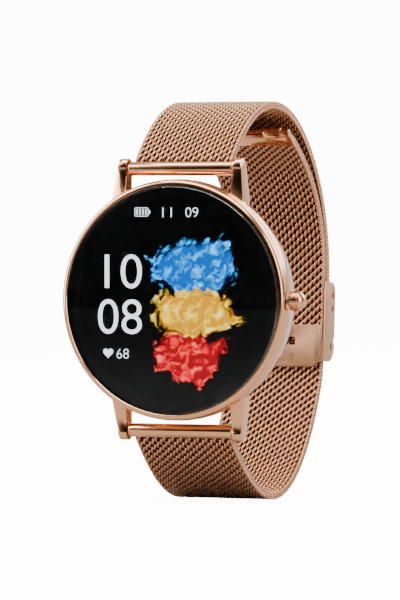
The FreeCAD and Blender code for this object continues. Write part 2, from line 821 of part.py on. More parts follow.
cover = cover.cut(clasp_rod(pin_radius + running_clearance, pin_rise, -cover_pin_drop,
                            -strap_width, strap_width))
save("clasp_cover", cover)

# ---------------------------------------------------------------- tail end
tail_along = heading(tail_heading)
tail_across = vec(0, -tail_along.z, tail_along.y)


def at_tail(forward, rise, x=0.0):
    return tail_end + tail_along * forward + tail_across * rise + vec(x, 0, 0)


def tail_rod(radius, x0, x1):
    p = at_tail(tail_plate_length, 0)
    return rod(radius, x0, x1, p.y, p.z)


half_width = strap_width / 2
plate_corners = [
    at_tail(0, half_strap, -half_width),
    at_tail(tail_plate_length, half_strap * 0.6, -half_width),
    at_tail(tail_plate_length, -half_strap * 0.6, -half_width),
    at_tail(0, -half_strap, -half_width),
]
tail_plate = Part.Face(Part.makePolygon(plate_corners + plate_corners[:1]))
tail_plate = tail_plate.extrude(vec(strap_width, 0, 0))
stop_x0 = half_width - tail_stop_inset - tail_stop_length
stop_x1 = stop_x0 + tail_stop_length
stop_bore_radius = tail_roll_diameter / 2 - 0.2
tail_plate = fused([tail_plate, tail_rod(tail_roll_diameter / 2, -half_width, half_width)])
stop_space = tail_rod(tail_stop_diameter / 2, stop_x0, stop_x1)
stop_space = stop_space.cut(tail_rod(stop_bore_radius, stop_x0, stop_x1))
tail_plate = tail_plate.cut(stop_space)
save("tail_end_plate", tail_plate)
save("tail_stop", stop_space)
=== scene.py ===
import math

import bpy
from mathutils import Matrix, Vector


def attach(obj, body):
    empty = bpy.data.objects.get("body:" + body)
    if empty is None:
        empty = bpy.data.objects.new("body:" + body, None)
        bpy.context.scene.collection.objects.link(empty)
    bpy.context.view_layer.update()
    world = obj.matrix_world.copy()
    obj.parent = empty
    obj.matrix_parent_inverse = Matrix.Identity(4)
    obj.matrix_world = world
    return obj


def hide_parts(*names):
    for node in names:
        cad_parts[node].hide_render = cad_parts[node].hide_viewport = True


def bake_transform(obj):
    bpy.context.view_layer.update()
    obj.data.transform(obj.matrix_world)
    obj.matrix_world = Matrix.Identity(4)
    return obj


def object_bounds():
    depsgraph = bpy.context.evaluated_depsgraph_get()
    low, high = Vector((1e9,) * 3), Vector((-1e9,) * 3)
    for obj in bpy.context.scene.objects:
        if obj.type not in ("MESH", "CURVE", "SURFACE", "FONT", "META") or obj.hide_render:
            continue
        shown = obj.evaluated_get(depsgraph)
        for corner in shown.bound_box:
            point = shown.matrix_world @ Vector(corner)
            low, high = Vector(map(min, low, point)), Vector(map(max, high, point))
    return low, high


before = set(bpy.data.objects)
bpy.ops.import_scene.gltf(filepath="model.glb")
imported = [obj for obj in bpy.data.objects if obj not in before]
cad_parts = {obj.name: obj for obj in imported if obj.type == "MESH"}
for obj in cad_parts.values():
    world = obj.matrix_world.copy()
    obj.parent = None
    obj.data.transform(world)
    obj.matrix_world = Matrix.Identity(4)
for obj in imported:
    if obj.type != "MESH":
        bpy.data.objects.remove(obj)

cad_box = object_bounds()
MM = 0.001

# ---------------------------------------------------------------- case body
# The case is one turned ring of rose-gold plated steel with four lugs brazed on.
# It is polished all over, so only fine handling marks break up the reflections.
ROSE_GOLD = (0.72, 0.365, 0.18, 1.0)


def clear_selection():
    if bpy.context.object and bpy.context.object.mode != "OBJECT":
        bpy.ops.object.mode_set(mode="OBJECT")
    bpy.ops.object.select_all(action="DESELECT")


def take_up(*pieces):
    """Select these pieces alone; the first one is the active one."""
    clear_selection()
    for piece in pieces:
        piece.select_set(True)
    bpy.context.view_layer.objects.active = pieces[0]


def fix_place(piece, name):
    """Put a finished piece's place into its mesh and name it."""
    take_up(piece)
    bpy.ops.object.transform_apply(location=True, rotation=True, scale=True)
    piece.name = name
    piece.data.name = name
    return piece


def apply_all(piece):
    take_up(piece)
    for modifier in list(piece.modifiers):
        bpy.ops.object.modifier_apply(modifier=modifier.name)


def close_shell(piece):
    """Merge doubles and turn every face outwards."""
    take_up(piece)
    bpy.ops.object.mode_set(mode="EDIT")
    bpy.ops.mesh.select_all(action="SELECT")
    bpy.ops.mesh.remove_doubles(threshold=0.000002)
    bpy.ops.mesh.normals_make_consistent(inside=False)
    bpy.ops.object.mode_set(mode="OBJECT")


def hand_over(piece, body, slot, material, *replaced):
    """Give a finished piece its finish and its body, and hide the CAD nodes it stands for."""
    piece.data.materials.clear()
    piece.data.materials.append(material)
    if replaced:
        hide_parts(*replaced)
    if body:
        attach(piece, body)
    return piece


def trued(node, name, edge=0.0, angle=30.0):
    """The node's own shape with its facets merged and its sharp edges eased."""
    piece = bpy.data.objects.new(name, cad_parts[node].data.copy())
    bpy.context.scene.collection.objects.link(piece)
    piece.data.name = name
    take_up(piece)
    bpy.ops.mesh.customdata_custom_splitnormals_clear()
    bpy.ops.object.mode_set(mode="EDIT")
    bpy.ops.mesh.select_all(action="SELECT")
    bpy.ops.mesh.remove_doubles(threshold=0.000001)
    bpy.ops.mesh.dissolve_limited(angle_limit=math.radians(0.6))
    bpy.ops.object.mode_set(mode="OBJECT")
    if edge:
        ease = piece.modifiers.new("eased_edges", "BEVEL")
        ease.width = edge * MM
        ease.segments = 2
        ease.limit_method = "ANGLE"
        ease.angle_limit = math.radians(angle)
        ease.use_clamp_overlap = True
        apply_all(piece)
    take_up(piece)
    bpy.ops.object.shade_smooth_by_angle(angle=math.radians(angle))
    return piece


def add_node(tree, kind, **settings):
    node = tree.nodes.new(kind)
    for key, value in settings.items():
        setattr(node, key, value)
    return node


def object_coordinates(tree, scale):
    """Object coordinates in millimetres, stretched by scale on each axis."""
    place = add_node(tree, "ShaderNodeTexCoord")
    mapping = add_node(tree, "ShaderNodeMapping")
    mapping.inputs["Scale"].default_value = [s / MM for s in scale]
    tree.links.new(place.outputs["Object"], mapping.inputs["Vector"])
    return mapping.outputs["Vector"]


def metal_finish_group():
    """Roughness and fine relief of worked metal, from coordinates in millimetres."""
    group = bpy.data.node_groups.new("metal_finish", "ShaderNodeTree")
    face = group.interface
    face.new_socket("Vector", in_out="INPUT", socket_type="NodeSocketVector")
    for socket in ("Grain Size", "Low Roughness", "High Roughness", "Relief", "Tone Change"):
        face.new_socket(socket, in_out="INPUT", socket_type="NodeSocketFloat")
    face.new_socket("Color", in_out="INPUT", socket_type="NodeSocketColor")
    face.new_socket("Color", in_out="OUTPUT", socket_type="NodeSocketColor")
    face.new_socket("Roughness", in_out="OUTPUT", socket_type="NodeSocketFloat")
    face.new_socket("Normal", in_out="OUTPUT", socket_type="NodeSocketVector")
    start = group.nodes.new("NodeGroupInput")
    end = group.nodes.new("NodeGroupOutput")
    link = group.links.new
    grain = add_node(group, "ShaderNodeTexNoise")
    grain.inputs["Detail"].default_value = 5.0
    grain.inputs["Roughness"].default_value = 0.6
    link(start.outputs["Vector"], grain.inputs["Vector"])
    link(start.outputs["Grain Size"], grain.inputs["Scale"])
    smudge = add_node(group, "ShaderNodeTexNoise")
    smudge.inputs["Scale"].default_value = 0.22
    smudge.inputs["Detail"].default_value = 3.0
    link(start.outputs["Vector"], smudge.inputs["Vector"])
    blend = add_node(group, "ShaderNodeMath", operation="MULTIPLY")
    link(grain.outputs["Fac"], blend.inputs[0])
    link(smudge.outputs["Fac"], blend.inputs[1])
    spread = add_node(group, "ShaderNodeMapRange")
    spread.inputs["From Min"].default_value = 0.12
    spread.inputs["From Max"].default_value = 0.42
    link(blend.outputs["Value"], spread.inputs["Value"])
    link(start.outputs["Low Roughness"], spread.inputs["To Min"])
    link(start.outputs["High Roughness"], spread.inputs["To Max"])
    bump = add_node(group, "ShaderNodeBump")
    bump.inputs["Distance"].default_value = 0.00002
    link(start.outputs["Relief"], bump.inputs["Strength"])
    link(grain.outputs["Fac"], bump.inputs["Height"])
    tone = add_node(group, "ShaderNodeMapRange")
    tone.inputs["From Min"].default_value = 0.3
    tone.inputs["From Max"].default_value = 0.7
    tone.inputs["To Max"].default_value = 1.0
    link(grain.outputs["Fac"], tone.inputs["Value"])
    deepest = add_node(group, "ShaderNodeMath", operation="SUBTRACT")
    deepest.inputs[0].default_value = 1.0
    link(start.outputs["Tone Change"], deepest.inputs[1])
    link(deepest.outputs["Value"], tone.inputs["To Min"])
    shade = add_node(group, "ShaderNodeVectorMath", operation="SCALE")
    link(start.outputs["Color"], shade.inputs[0])
    link(tone.outputs["Result"], shade.inputs["Scale"])
    link(shade.outputs["Vector"], end.inputs["Color"])
    link(spread.outputs["Result"], end.inputs["Roughness"])
    link(bump.outputs["Normal"], end.inputs["Normal"])
    return group


METAL_FINISH = metal_finish_group()


def metal(name, color, stretch, grain, low, high, relief, tone):
    """A plated or bare metal whose grain runs along the axes that stretch makes small."""
    material = bpy.data.materials.new(name)
    material.use_nodes = True
    tree = material.node_tree
    shader = tree.nodes["Principled BSDF"]
    shader.inputs["Metallic"].default_value = 1.0
    finish = add_node(tree, "ShaderNodeGroup")
    finish.node_tree = METAL_FINISH
    finish.inputs["Color"].default_value = color
    finish.inputs["Grain Size"].default_value = grain
    finish.inputs["Low Roughness"].default_value = low
    finish.inputs["High Roughness"].default_value = high
    finish.inputs["Relief"].default_value = relief
    finish.inputs["Tone Change"].default_value = tone
    tree.links.new(object_coordinates(tree, stretch), finish.inputs["Vector"])
    tree.links.new(finish.outputs["Color"], shader.inputs["Base Color"])
    tree.links.new(finish.outputs["Roughness"], shader.inputs["Roughness"])
    tree.links.new(finish.outputs["Normal"], shader.inputs["Normal"])
    return material


POLISHED = metal("polished_rose_gold", ROSE_GOLD, (1, 1, 1), 2.2, 0.08, 0.2, 0.02, 0.04)

case_body = trued("case_body", "case_shell", edge=0.12)
hand_over(case_body, "case", "polished_case", POLISHED, "case_body")

# ---------------------------------------------------------------- bezel and crown
# The bezel is a polished ring pressed on the case round the glass. The crown is
# turned from bar, with a knurled grip and a domed cap, on a stem of plain steel.
# Bezel outline: (radius, depth) corners from the glass seat round to the inner ledge.
BEZEL_OUTLINE = [(20.06, -7.5), (20.06, -8.52), (20.14, -8.6), (20.32, -8.6), (20.52, -8.56),
                 (20.72, -8.46), (20.88, -8.29), (20.99, -8.07), (21.06, -7.8), (21.1, -7.45),
                 (21.1, -7.0), (19.0, -7.0), (19.0, -7.5)]


def turned_ring(name, outline, vertices):
    """A ring about Y, drawn out corner by corner from a circle and closed on itself."""
    clear_selection()
    radius, depth = outline[0]
    bpy.ops.mesh.primitive_circle_add(vertices=vertices, radius=radius * MM,
                                      location=(0, depth * MM, 0),
                                      rotation=(math.pi / 2, 0, 0))
    ring = bpy.context.object
    bpy.ops.object.transform_apply(location=True, rotation=True, scale=True)
    bpy.ops.object.mode_set(mode="EDIT")
    bpy.ops.mesh.select_mode(type="VERT")
    bpy.ops.mesh.select_all(action="SELECT")
    for wide, deep in outline[1:] + outline[:1]:
        step = (0, (deep - depth) * MM, 0)
        bpy.ops.mesh.extrude_region_move(TRANSFORM_OT_translate={"value": step})
        grow = wide / radius
        bpy.ops.transform.resize(value=(grow, 1, grow), center_override=(0, 0, 0))
        radius, depth = wide, deep
    bpy.ops.object.mode_set(mode="OBJECT")
    fix_place(ring, name)
    close_shell(ring)
    return ring


def cut_with(piece, tool):
    """Take the tool's shape out of a piece, and put the tool away."""
    cut = piece.modifiers.new("cut", "BOOLEAN")
    cut.operation = "DIFFERENCE"
    cut.solver = "EXACT"
    cut.object = tool
    apply_all(piece)
    bpy.data.objects.remove(tool)


def add_rod(radius, x0, x1, y, z, vertices=48):
    """A plain round bar along X, to be worked further or to cut with."""
    clear_selection()
    bpy.ops.mesh.primitive_cylinder_add(vertices=vertices, radius=radius * MM,
                                        depth=(x1 - x0) * MM, rotation=(0, math.pi / 2, 0),
                                        location=((x0 + x1) / 2 * MM, y * MM, z * MM))
    bpy.ops.object.transform_apply(location=True, rotation=True, scale=True)
    return bpy.context.object


def pick_faces(piece, wanted):
    """Select the faces for which wanted(face) is true, and go to edit mode."""
    take_up(piece)
    bpy.ops.object.mode_set(mode="EDIT")
    bpy.ops.mesh.select_all(action="DESELECT")
    bpy.ops.mesh.select_mode(type="FACE")
    bpy.ops.object.mode_set(mode="OBJECT")
    for face in piece.data.polygons:
        face.select = wanted(face)
    bpy.ops.object.mode_set(mode="EDIT")


CROWN_DEPTH = -5.6
bezel = turned_ring("bezel_trim", BEZEL_OUTLINE, 192)
cut_with(bezel, add_rod(1.85, 20.8, 22.2, CROWN_DEPTH, 0))
take_up(bezel)
bpy.ops.object.shade_smooth_by_angle(angle=math.radians(35))
hand_over(bezel, "case", "polished_case", POLISHED, "bezel_ring")

GRIP_START = 21.5
GRIP_END = 23.05
GRIP_RADIUS = 1.7
GROOVE_DEPTH = 0.16
CAP_INSET = 0.16
CAP_STEP = 0.06
CAP_HEIGHT = 0.94
CAP_RINGS = 8
RIDGES = 26
crown = add_rod(GRIP_RADIUS, GRIP_START, GRIP_END, CROWN_DEPTH, 0, vertices=6 * RIDGES)


def in_groove(face):
    if abs(face.normal.x) > 0.5:
        return False
    angle = math.degrees(math.atan2(face.center.z, face.center.y - CROWN_DEPTH * MM)) % 360
    return int(angle / (60 / RIDGES)) % 6 < 3


pick_faces(crown, in_groove)
bpy.ops.mesh.extrude_region_shrink_fatten(TRANSFORM_OT_shrink_fatten={"value": -GROOVE_DEPTH * MM})
bpy.ops.object.mode_set(mode="OBJECT")
pick_faces(crown, lambda face: (face.normal.x > 0.9
                                and face.center.x > (GRIP_END - 0.01) * MM))
bpy.ops.mesh.inset(thickness=CAP_INSET * MM)
bpy.ops.mesh.extrude_region_move(TRANSFORM_OT_translate={"value": (CAP_STEP * MM, 0, 0)})
cap_radius = GRIP_RADIUS - CAP_INSET
cap_rise = CAP_HEIGHT - CAP_STEP
ball = (cap_radius ** 2 + cap_rise ** 2) / (2 * cap_rise)
width, rise = cap_radius, 0.0
for i in range(1, CAP_RINGS + 1):
    next_rise = cap_rise * math.sin(i * math.pi / (2 * CAP_RINGS))
    next_width = math.sqrt(max(ball ** 2 - (ball - cap_rise + next_rise) ** 2, 0.0))
    next_width = max(next_width, 0.08)
    bpy.ops.mesh.extrude_region_move(
        TRANSFORM_OT_translate={"value": ((next_rise - rise) * MM, 0, 0)})
    bpy.ops.transform.resize(value=(1, next_width / width, next_width / width),
                             center_override=(0, CROWN_DEPTH * MM, 0))
    width, rise = next_width, next_rise
bpy.ops.object.mode_set(mode="OBJECT")
close_shell(crown)
crown_ease = crown.modifiers.new("eased_edges", "BEVEL")
crown_ease.width = 0.03 * MM
crown_ease.segments = 2
crown_ease.limit_method = "ANGLE"
crown_ease.angle_limit = math.radians(40)
apply_all(crown)
bpy.ops.object.shade_smooth_by_angle(angle=math.radians(35))
fix_place(crown, "crown_grip")
hand_over(crown, "crown", "polished_case", POLISHED, "crown_knob")

STEEL = metal("plain_steel", (0.56, 0.55, 0.54, 1.0), (1, 1, 1), 3.0, 0.22, 0.4, 0.2, 0.15)
for node in ("back_screws", "crown_tube", "crown_stem", "crown_clip", "upper_bar_tube",
             "upper_bar_tips", "lower_bar_tube", "lower_bar_tips", "bar_springs"):
    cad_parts[node].data.materials.clear()
    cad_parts[node].data.materials.append(STEEL)

# ---------------------------------------------------------------- screen
# A round colour panel is bonded under the glass, inside a black printed border.
# It shows the time, date, charge and pulse beside three drifting tinted clouds.
SCREEN_FACE = -7.45
SCREEN_RADIUS = 18.1
SCREEN_THICKNESS = 0.75
PRINT_OUTLINE = [(17.9, -7.595), (19.93, -7.595), (19.93, -7.56), (17.9, -7.56)]
GLYPH_FACE = -7.47
GLYPH_DEPTH = 0.02
# Each cloud: its middle (x, z), half width, half height, softness of its edge, and its
# dark, middle and light tints. Later clouds lie over earlier ones.
CLOUDS = [
    (3.2, -9.4, 7.4, 6.6, 0.07,
     (0.28, 0.0, 0.005, 1), (0.9, 0.01, 0.015, 1), (1.0, 0.16, 0.12, 1)),
    (4.0, 5.6, 10.2, 6.4, 0.07,
     (0.0, 0.09, 0.42, 1), (0.0, 0.36, 0.95, 1), (0.1, 0.62, 1.0, 1)),
    (4.8, -2.0, 9.4, 5.2, 0.09,
     (0.62, 0.26, 0.0, 1), (1.0, 0.64, 0.0, 1), (1.0, 0.88, 0.25, 1)),
]


def plastic(name, color, roughness, grain, relief):
    """Moulded plastic or rubber with a fine, even grain."""
    material = bpy.data.materials.new(name)
    material.use_nodes = True
    tree = material.node_tree
    shader = tree.nodes["Principled BSDF"]
    place = object_coordinates(tree, (1, 1, 1))
    texture = add_node(tree, "ShaderNodeTexNoise")
    texture.inputs["Scale"].default_value = grain
    texture.inputs["Detail"].default_value = 4.0
    tree.links.new(place, texture.inputs["Vector"])
    tint = add_node(tree, "ShaderNodeValToRGB")
    tint.color_ramp.elements[0].color = [c * 0.75 for c in color[:3]] + [1.0]
    tint.color_ramp.elements[1].color = color
    tree.links.new(texture.outputs["Fac"], tint.inputs["Fac"])
    tree.links.new(tint.outputs["Color"], shader.inputs["Base Color"])
    rough = add_node(tree, "ShaderNodeMapRange")
    rough.inputs["To Min"].default_value = roughness * 0.8
    rough.inputs["To Max"].default_value = min(1.0, roughness * 1.2)
    tree.links.new(texture.outputs["Fac"], rough.inputs["Value"])
    tree.links.new(rough.outputs["Result"], shader.inputs["Roughness"])
    bump = add_node(tree, "ShaderNodeBump")
    bump.inputs["Strength"].default_value = relief
    bump.inputs["Distance"].default_value = 0.00005
    tree.links.new(texture.outputs["Fac"], bump.inputs["Height"])
    tree.links.new(bump.outputs["Normal"], shader.inputs["Normal"])
    return material


def math_node(tree, operation, first, second=None):
    node = add_node(tree, "ShaderNodeMath", operation=operation)
    for socket, value in zip(node.inputs, (first, second)):
        if isinstance(value, (int, float)):
            socket.default_value = value
        elif value is not None:
            tree.links.new(value, socket)
    return node.outputs["Value"]


def cloud_mask(tree, place, ragged, x, z, half_width, half_height, softness):
    """1 inside a ragged oval round (x, z) on the screen, 0 outside it."""
    mapping = add_node(tree, "ShaderNodeMapping", vector_type="TEXTURE")
    mapping.inputs["Location"].default_value = (x, 0.0, z)
    mapping.inputs["Scale"].default_value = (half_width, 1000.0, half_height)
    tree.links.new(place, mapping.inputs["Vector"])
    length = add_node(tree, "ShaderNodeVectorMath", operation="LENGTH")
    tree.links.new(mapping.outputs["Vector"], length.inputs[0])
    edge = add_node(tree, "ShaderNodeMapRange", interpolation_type="SMOOTHSTEP")
    edge.inputs["From Min"].default_value = 1.0 + softness
    edge.inputs["From Max"].default_value = 1.0 - softness
    tree.links.new(math_node(tree, "ADD", length.outputs["Value"], ragged), edge.inputs["Value"])
    return edge.outputs["Result"]


def warped_by(tree, place, scale, reach):
    """Places pushed about on the screen by a noise of this scale."""
    swirl = add_node(tree, "ShaderNodeTexNoise")
    swirl.inputs["Scale"].default_value = scale
    swirl.inputs["Detail"].default_value = 4.0
    tree.links.new(place, swirl.inputs["Vector"])
    centred = add_node(tree, "ShaderNodeVectorMath", operation="SUBTRACT")
    centred.inputs[1].default_value = (0.5, 0.5, 0.5)
    tree.links.new(swirl.outputs["Color"], centred.inputs[0])
    push = add_node(tree, "ShaderNodeVectorMath", operation="MULTIPLY")
    push.inputs[1].default_value = (reach, 0.0, reach)
    tree.links.new(centred.outputs["Vector"], push.inputs[0])
    moved_place = add_node(tree, "ShaderNodeVectorMath", operation="ADD")
    tree.links.new(place, moved_place.inputs[0])
    tree.links.new(push.outputs["Vector"], moved_place.inputs[1])
    return moved_place.outputs["Vector"]


def puffs(tree, place, shift):
    """Rounded billows over the screen, read a little to one side by shift."""
    beside = add_node(tree, "ShaderNodeVectorMath", operation="ADD")
    beside.inputs[1].default_value = shift
    tree.links.new(place, beside.inputs[0])
    cells = add_node(tree, "ShaderNodeTexVoronoi", feature="SMOOTH_F1")
    cells.inputs["Scale"].default_value = 0.5
    cells.inputs["Smoothness"].default_value = 0.6
    cells.inputs["Detail"].default_value = 3.0
    cells.inputs["Roughness"].default_value = 0.45
    tree.links.new(beside.outputs["Vector"], cells.inputs["Vector"])
    return cells.outputs["Distance"]


def tinted(tree, relief, dark, middle, light):
    ramp = add_node(tree, "ShaderNodeValToRGB")
    ramp.color_ramp.elements[0].position = 0.22
    ramp.color_ramp.elements[0].color = dark
    ramp.color_ramp.elements[1].position = 0.8
    ramp.color_ramp.elements[1].color = light
    half = ramp.color_ramp.elements.new(0.5)
    half.color = middle
    tree.links.new(relief, ramp.inputs["Fac"])
    return ramp.outputs["Color"]


def laid_over(tree, mask, below, above):
    mix = add_node(tree, "ShaderNodeMix", data_type="RGBA")
    tree.links.new(mask, mix.inputs[0])
    for socket, value in ((mix.inputs[6], below), (mix.inputs[7], above)):
        if isinstance(value, tuple):
            socket.default_value = value
        else:
            tree.links.new(value, socket)
    return mix.outputs[2]


def screen_material():
    material = bpy.data.materials.new("screen_picture")
    material.use_nodes = True
    tree = material.node_tree
    shader = tree.nodes["Principled BSDF"]
    shader.inputs["Roughness"].default_value = 0.35
    shader.inputs["Specular IOR Level"].default_value = 0.1
    shader.inputs["Base Color"].default_value = (0.002, 0.002, 0.003, 1.0)
    shader.inputs["Emission Strength"].default_value = 2.2
    place = object_coordinates(tree, (1, 1, 1))
    flat = add_node(tree, "ShaderNodeVectorMath", operation="MULTIPLY")
    flat.inputs[1].default_value = (1.0, 0.0, 1.0)
    tree.links.new(place, flat.inputs[0])
    drifting = warped_by(tree, flat.outputs["Vector"], 0.14, 6.0)
    curled = warped_by(tree, warped_by(tree, drifting, 0.5, 2.2), 1.6, 0.7)
    here = puffs(tree, curled, (0.0, 0.0, 0.0))
    lit = math_node(tree, "SUBTRACT", puffs(tree, curled, (0.3, 0.0, -0.34)), here)
    fine = add_node(tree, "ShaderNodeTexNoise")
    fine.inputs["Scale"].default_value = 1.3
    fine.inputs["Detail"].default_value = 6.0
    tree.links.new(curled, fine.inputs["Vector"])
    wisps = math_node(tree, "SUBTRACT", fine.outputs["Fac"], 0.5)
    wisps = math_node(tree, "MULTIPLY", wisps, 0.6)
    depth = math_node(tree, "MULTIPLY", math_node(tree, "SUBTRACT", 0.5, here), 0.55)
    relief = math_node(tree, "ADD", math_node(tree, "ADD", lit, 0.48), depth)
    relief = math_node(tree, "ADD", relief, wisps)
    ragged = math_node(tree, "MULTIPLY", math_node(tree, "SUBTRACT", here, 0.3), 0.42)
    ragged = math_node(tree, "SUBTRACT", ragged, math_node(tree, "MULTIPLY", wisps, 0.45))
    picture = (0.0, 0.0, 0.0, 1.0)
    for x, z, half_width, half_height, softness, dark, middle, light in CLOUDS:
        mask = cloud_mask(tree, drifting, ragged, x, z, half_width, half_height, softness)
        picture = laid_over(tree, mask, picture, tinted(tree, relief, dark, middle, light))
    tree.links.new(picture, shader.inputs["Emission Color"])
    return material


clear_selection()
bpy.ops.mesh.primitive_circle_add(vertices=128, radius=SCREEN_RADIUS * MM, fill_type="NGON",
                                  location=(0, SCREEN_FACE * MM, 0), rotation=(math.pi / 2, 0, 0))
screen = bpy.context.object
bpy.ops.object.mode_set(mode="EDIT")
bpy.ops.mesh.select_all(action="SELECT")
bpy.ops.mesh.extrude_region_move(TRANSFORM_OT_translate={"value": (0, SCREEN_THICKNESS * MM, 0)})
bpy.ops.object.mode_set(mode="OBJECT")
fix_place(screen, "screen_panel")
close_shell(screen)
hand_over(screen, "case", "screen", screen_material(), "display_panel", "glass_adhesive")

BLACK_PRINT = plastic("black_print", (0.006, 0.006, 0.007, 1.0), 0.3, 6.0, 0.05)
BLACK_PRINT.node_tree.nodes["Principled BSDF"].inputs["Specular IOR Level"].default_value = 0.1
border = turned_ring("border_print", PRINT_OUTLINE, 160)
hand_over(border, "case", "screen", BLACK_PRINT)


def glow(name, color, strength):
    """Lit screen elements: an even colour with the faint grain of its lit dots."""
    material = bpy.data.materials.new(name)
    material.use_nodes = True
    tree = material.node_tree
    shader = tree.nodes["Principled BSDF"]
    shader.inputs["Base Color"].default_value = (0.02, 0.02, 0.02, 1.0)
    shader.inputs["Emission Strength"].default_value = strength
    dots = add_node(tree, "ShaderNodeTexNoise")
    dots.inputs["Scale"].default_value = 9.0
    tree.links.new(object_coordinates(tree, (1, 1, 1)), dots.inputs["Vector"])
    ramp = add_node(tree, "ShaderNodeValToRGB")
    ramp.color_ramp.elements[0].color = [c * 0.96 for c in color[:3]] + [1.0]
    ramp.color_ramp.elements[1].color = color
    tree.links.new(dots.outputs["Fac"], ramp.inputs["Fac"])
    tree.links.new(ramp.outputs["Color"], shader.inputs["Emission Color"])
    return material


WHITE_GLOW = glow("white_glow", (0.95, 0.96, 1.0, 1.0), 2.4)


def fit_glyph(piece, name, x0, x1, z0, z1):
    """Bring a flat shape drawn in XY to its box on the screen and give it a little depth."""
    take_up(piece)
    corners = [v.co for v in piece.data.vertices]
    low = Vector((min(c.x for c in corners), min(c.y for c in corners), 0))
    high = Vector((max(c.x for c in corners), max(c.y for c in corners), 0))
    scale_x = (x1 - x0) * MM / (high.x - low.x)
    scale_z = (z1 - z0) * MM / (high.y - low.y)
    piece.scale = (scale_x, scale_z, 1)
    piece.rotation_euler = (math.pi / 2, 0, 0)
    piece.location = (x0 * MM - low.x * scale_x, GLYPH_FACE * MM, z0 * MM - low.y * scale_z)
    fix_place(piece, name)
    bpy.ops.object.mode_set(mode="EDIT")
    bpy.ops.mesh.select_all(action="SELECT")
    bpy.ops.mesh.remove_doubles(threshold=0.000001)
    bpy.ops.mesh.extrude_region_move(TRANSFORM_OT_translate={"value": (0, GLYPH_DEPTH * MM, 0)})
    bpy.ops.mesh.select_all(action="SELECT")
    bpy.ops.mesh.normals_make_consistent(inside=False)
    bpy.ops.object.mode_set(mode="OBJECT")
    return hand_over(piece, "case", "screen", WHITE_GLOW)


def numerals(text, name, x0, x1, z0, z1, weight):
    clear_selection()
    bpy.ops.object.text_add()
    piece = bpy.context.object
    piece.data.body = text
    piece.data.offset = weight
    piece.data.resolution_u = 6
    piece.data.fill_mode = "FRONT"
    bpy.ops.object.convert(target="MESH")
    return fit_glyph(bpy.context.object, name, x0, x1, z0, z1)


numerals("10", "hour_numerals", -13.0, -5.9, 2.0, 8.0, -0.004)
numerals("08", "minute_numerals", -14.3, -5.9, -6.0, 0.1, -0.004)
numerals("68", "pulse_numerals", -10.7, -8.4, -10.3, -8.6, -0.014)
numerals("11", "month_numerals", -2.0, -0.2, 14.5, 16.2, -0.014)
numerals("09", "day_numerals", 2.4, 4.8, 14.5, 16.2, -0.014)

clear_selection()
bpy.ops.mesh.primitive_circle_add(vertices=40, radius=1.0, fill_type="NGON")
heart = bpy.context.object
for corner in heart.data.vertices:
    turn = math.atan2(corner.co.x, corner.co.y)
    corner.co.x = 16 * math.sin(turn) ** 3 / 16
    corner.co.y = (13 * math.cos(turn) - 5 * math.cos(2 * turn) - 2 * math.cos(3 * turn)
                   - math.cos(4 * turn)) / 16
fit_glyph(heart, "pulse_heart", -13.3, -11.4, -10.35, -8.6)


def flat_box(x0, x1, z0, z1):
    """A flat rectangle drawn in XY."""
    clear_selection()
    bpy.ops.mesh.primitive_plane_add(size=1, location=((x0 + x1) / 2, (z0 + z1) / 2, 0))
    plate = bpy.context.object
    plate.scale = (x1 - x0, z1 - z0, 1)
    bpy.ops.object.transform_apply(location=True, rotation=True, scale=True)
    return plate


charge_case = flat_box(-7.3, -4.6, 14.6, 16.2)
bpy.ops.object.mode_set(mode="EDIT")
bpy.ops.mesh.select_all(action="SELECT")
bpy.ops.mesh.bevel(offset=0.35, segments=4, affect="VERTICES")
bpy.ops.mesh.select_all(action="SELECT")
bpy.ops.mesh.inset(thickness=0.13)
bpy.ops.mesh.delete(type="FACE")
bpy.ops.object.mode_set(mode="OBJECT")
bars = [flat_box(-6.93 + 0.56 * i, -6.65 + 0.56 * i, 14.92, 15.88) for i in range(4)]
terminal = flat_box(-4.52, -4.32, 15.1, 15.7)
take_up(charge_case, terminal, *bars)
bpy.ops.object.join()
fit_glyph(charge_case, "charge_symbol", -7.3, -4.32, 14.6, 16.2)

# ---------------------------------------------------------------- glass
# The front glass is a flat, ground disc of hard mineral glass with a chamfered rim.
# A very thin smear of handling shows on it only where it catches a light.
GLASS = bpy.data.materials.new("front_mineral_glass")
GLASS.use_nodes = True
glass_tree = GLASS.node_tree
glass_shader = glass_tree.nodes["Principled BSDF"]
glass_shader.inputs["Base Color"].default_value = (0.9, 0.93, 0.95, 1.0)
glass_shader.inputs["Transmission Weight"].default_value = 1.0
glass_shader.inputs["IOR"].default_value = 1.5
glass_shader.inputs["Specular IOR Level"].default_value = 0.03
smear = add_node(glass_tree, "ShaderNodeTexNoise")
smear.inputs["Scale"].default_value = 0.12
smear.inputs["Detail"].default_value = 3.0
glass_tree.links.new(object_coordinates(glass_tree, (1, 1, 1)), smear.inputs["Vector"])
smear_depth = add_node(glass_tree, "ShaderNodeMapRange")
smear_depth.inputs["From Min"].default_value = 0.45
smear_depth.inputs["From Max"].default_value = 0.8
smear_depth.inputs["To Max"].default_value = 0.06
glass_tree.links.new(smear.outputs["Fac"], smear_depth.inputs["Value"])
glass_tree.links.new(smear_depth.outputs["Result"], glass_shader.inputs["Roughness"])
glass = trued("front_glass", "front_window")
hand_over(glass, "case", "cover_glass", GLASS, "front_glass")

